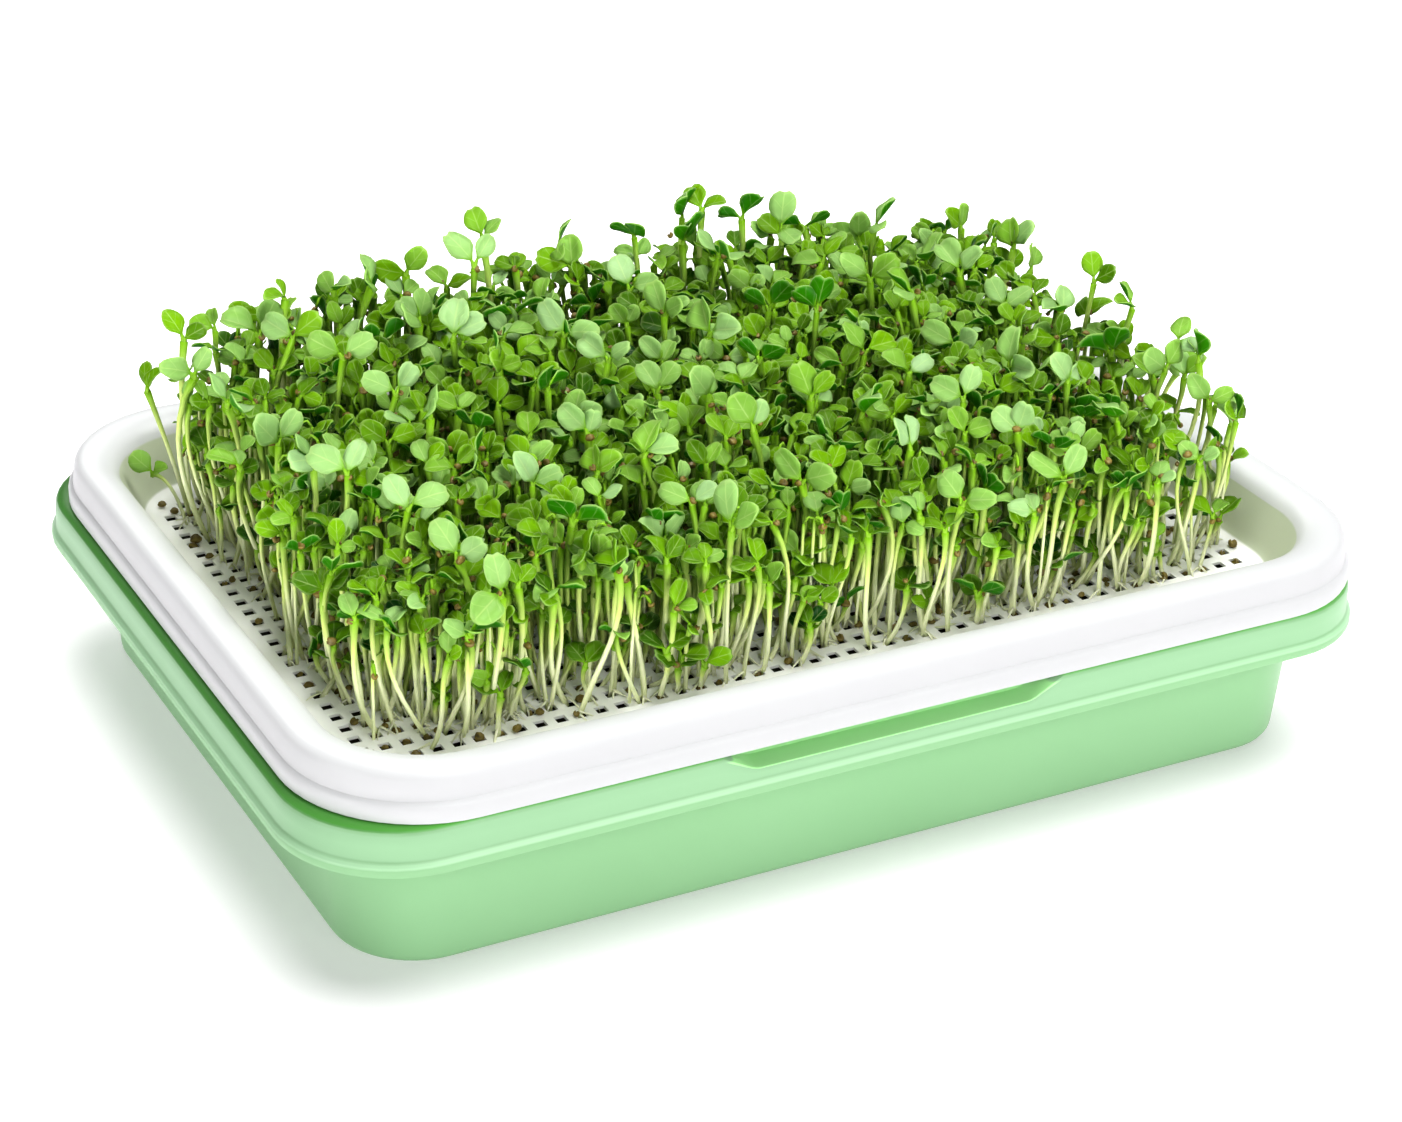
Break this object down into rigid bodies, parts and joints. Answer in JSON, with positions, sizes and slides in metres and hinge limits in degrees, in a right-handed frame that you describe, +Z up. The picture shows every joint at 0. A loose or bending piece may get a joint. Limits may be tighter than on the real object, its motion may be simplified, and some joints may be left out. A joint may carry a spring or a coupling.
{
  "type": "microgreens tray",
  "caption": "Two-layer sprouting tray: a white mesh tray nests in a mint green water tray and carries a dense bed of brassica microgreens.",
  "frame": {"origin": "centre of the underside of the water tray, at the middle of the whole part's box", "axes": "+X along the long front side, +Y from the front side with the finger notch to the back, +Z up"},
  "size_m": [0.344, 0.248, 0.1204],
  "materials": {
    "mint_plastic": "moulded polypropylene, soft gloss",
    "white_plastic": "moulded polypropylene, satin",
    "sprout_green": "fresh seed leaves, waxy, on pale green stems",
    "husk_brown": "dry split seed coat"
  },
  "bodies": {
    "root": {"water_tray": "mint_plastic", "mesh_tray": "white_plastic", "sprout_clump_1_1": "sprout_green", "sprout_clump_1_2": "sprout_green", "sprout_clump_1_3": "sprout_green", "sprout_clump_1_4": "sprout_green", "sprout_clump_1_5": "sprout_green", "sprout_clump_1_6": "sprout_green", "sprout_clump_1_7": "sprout_green", "sprout_clump_1_8": "sprout_green", "sprout_clump_1_9": "sprout_green", "sprout_clump_2_1": "sprout_green", "sprout_clump_2_2": "sprout_green", "sprout_clump_2_3": "sprout_green", "sprout_clump_2_4": "sprout_green", "sprout_clump_2_5": "sprout_green", "sprout_clump_2_6": "sprout_green", "sprout_clump_2_7": "sprout_green", "sprout_clump_2_8": "sprout_green", "sprout_clump_2_9": "sprout_green", "sprout_clump_3_1": "sprout_green", "sprout_clump_3_2": "sprout_green", "sprout_clump_3_3": "sprout_green", "sprout_clump_3_4": "sprout_green", "sprout_clump_3_5": "sprout_green", "sprout_clump_3_6": "sprout_green", "sprout_clump_3_7": "sprout_green", "sprout_clump_3_8": "sprout_green", "sprout_clump_3_9": "sprout_green", "sprout_clump_4_1": "sprout_green", "sprout_clump_4_2": "sprout_green", "sprout_clump_4_3": "sprout_green", "sprout_clump_4_4": "sprout_green", "sprout_clump_4_5": "sprout_green", "sprout_clump_4_6": "sprout_green", "sprout_clump_4_7": "sprout_green", "sprout_clump_4_8": "sprout_green", "sprout_clump_4_9": "sprout_green", "sprout_clump_5_1": "sprout_green", "sprout_clump_5_2": "sprout_green", "sprout_clump_5_3": "sprout_green", "sprout_clump_5_4": "sprout_green", "sprout_clump_5_5": "sprout_green", "sprout_clump_5_6": "sprout_green", "sprout_clump_5_7": "sprout_green", "sprout_clump_5_8": "sprout_green", "sprout_clump_5_9": "sprout_green", "lone_sprout_back_left": "sprout_green", "lone_sprout_right": "sprout_green", "lone_sprout_front_right": "sprout_green", "seed_husk_1": "husk_brown", "seed_husk_2": "husk_brown", "seed_husk_3": "husk_brown", "seed_husk_4": "husk_brown", "seed_husk_5": "husk_brown", "seed_husk_6": "husk_brown"}
  },
  "joints": []
}
